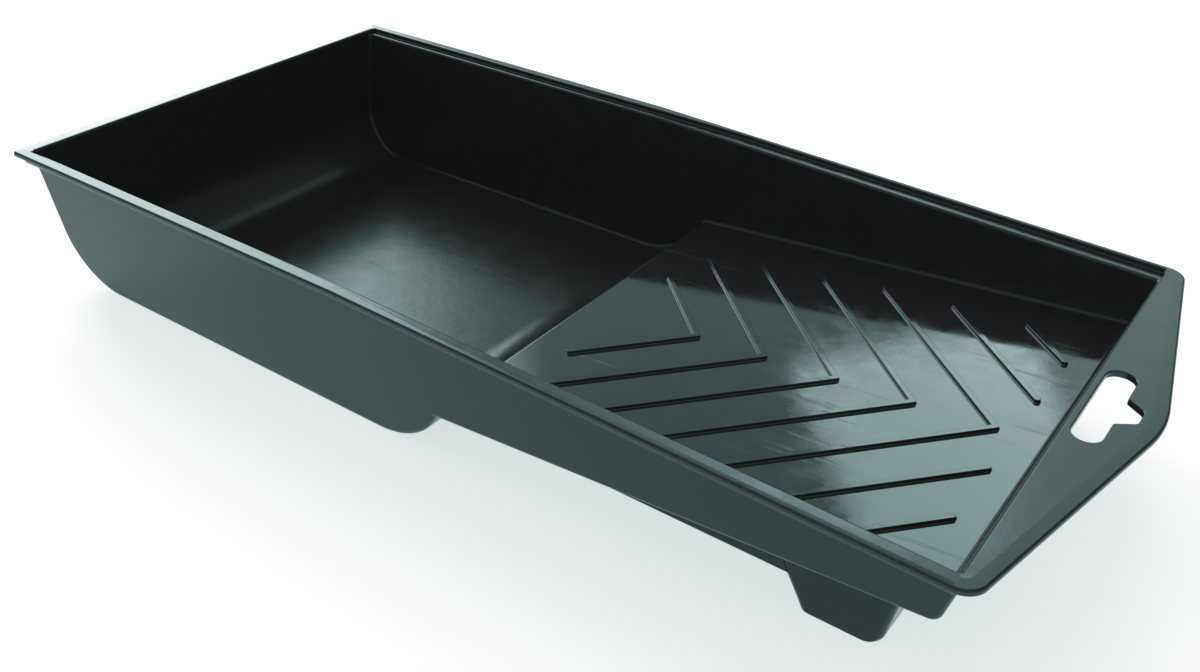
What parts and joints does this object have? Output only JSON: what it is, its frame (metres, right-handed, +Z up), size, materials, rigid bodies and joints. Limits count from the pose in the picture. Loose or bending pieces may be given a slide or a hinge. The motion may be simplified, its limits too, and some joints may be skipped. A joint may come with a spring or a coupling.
{
  "type": "paint roller tray",
  "caption": "Shallow plastic tray for a mini paint roller, with a deep well, a ribbed sloping ramp, a stepped rim, feet under the ramp and a hanging tab with a hook slot.",
  "frame": {"origin": "middle of the tray's length and width, on the bench that it stands on", "axes": "+X from the well towards the hanging tab, +Y across the tray to its left side, +Z up"},
  "size_m": [0.3134, 0.15, 0.047],
  "materials": {
    "tray_plastic": "moulded black polypropylene, semi-gloss, with a faint flow texture",
    "ramp_plastic": "moulded black polypropylene, glossier than the walls, with light scuffs",
    "rim_plastic": "moulded black polypropylene, semi-gloss, worn along the edge"
  },
  "bodies": {
    "root": {"well_floor": "tray_plastic", "deep_end_wall": "tray_plastic", "ramp_riser": "tray_plastic", "ramp_panel": "ramp_plastic", "front_wall": "tray_plastic", "side_wall_left": "tray_plastic", "side_wall_right": "tray_plastic", "rim_left": "rim_plastic", "rim_right": "rim_plastic", "rim_deep_end": "rim_plastic", "hanging_tab": "rim_plastic", "chevron_ribs": "ramp_plastic", "split_ribs_left": "ramp_plastic", "split_ribs_right": "ramp_plastic", "foot_left": "tray_plastic", "foot_right": "tray_plastic", "web_left": "tray_plastic", "web_right": "tray_plastic"}
  },
  "joints": []
}
